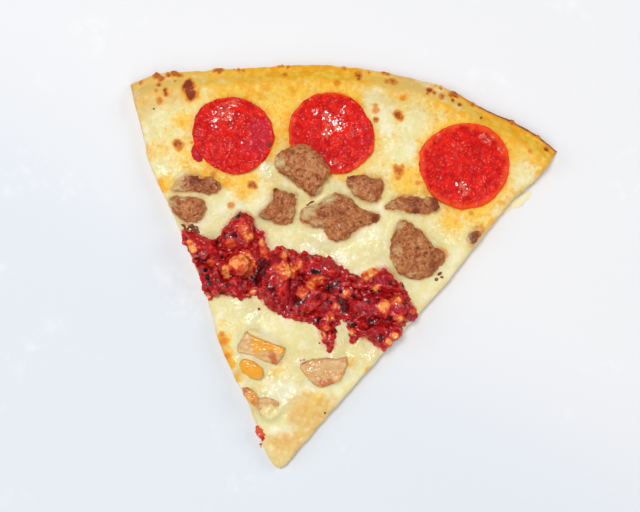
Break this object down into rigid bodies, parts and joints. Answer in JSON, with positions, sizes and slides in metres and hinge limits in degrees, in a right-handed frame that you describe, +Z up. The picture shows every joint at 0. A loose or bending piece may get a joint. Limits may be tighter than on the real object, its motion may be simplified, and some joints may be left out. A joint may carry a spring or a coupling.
{
  "type": "pizza slice",
  "caption": "Thin-crust pizza slice with melted cheese, pepperoni, crumbled sausage, spiced red chicken and grilled chicken, lying flat.",
  "frame": {"origin": "the middle of the crust's flat underside", "axes": "+Z up, +Y from the tip towards the rim along the slice's middle line, +X to the right seen from above with the tip nearest"},
  "size_m": [0.2104, 0.201, 0.0182],
  "materials": {
    "baked_crust": "dry baked dough, golden with brown blisters",
    "melted_cheese": "soft oily sheen, pale to golden",
    "pepperoni": "oily, finely pebbled",
    "sausage": "coarse ground meat, dull",
    "red_chicken": "moist spice paste with charred spots",
    "grilled_chicken": "moist cooked meat, golden at its edges"
  },
  "bodies": {
    "root": {"cheese": "melted_cheese", "chicken_edge": "grilled_chicken", "chicken_gold": "grilled_chicken", "chicken_pale": "grilled_chicken", "chicken_right": "grilled_chicken", "chicken_slab": "grilled_chicken", "crust": "baked_crust", "pepperoni_left": "pepperoni", "pepperoni_middle": "pepperoni", "pepperoni_right": "pepperoni", "red_chicken_block": "red_chicken", "red_chicken_bottom": "red_chicken", "red_chicken_centre": "red_chicken", "red_chicken_cube": "red_chicken", "red_chicken_edge": "red_chicken", "red_chicken_left": "red_chicken", "red_chicken_low": "red_chicken", "red_chicken_peak": "red_chicken", "red_chicken_ridge": "red_chicken", "red_chicken_right": "red_chicken", "red_chicken_sliver": "red_chicken", "red_chicken_strip": "red_chicken", "sausage_finger": "sausage", "sausage_left_lower": "sausage", "sausage_left_upper": "sausage", "sausage_peak": "sausage", "sausage_right": "sausage", "sausage_scrap": "sausage", "sausage_star": "sausage", "sausage_upper": "sausage", "sausage_wedge": "sausage"}
  },
  "joints": []
}
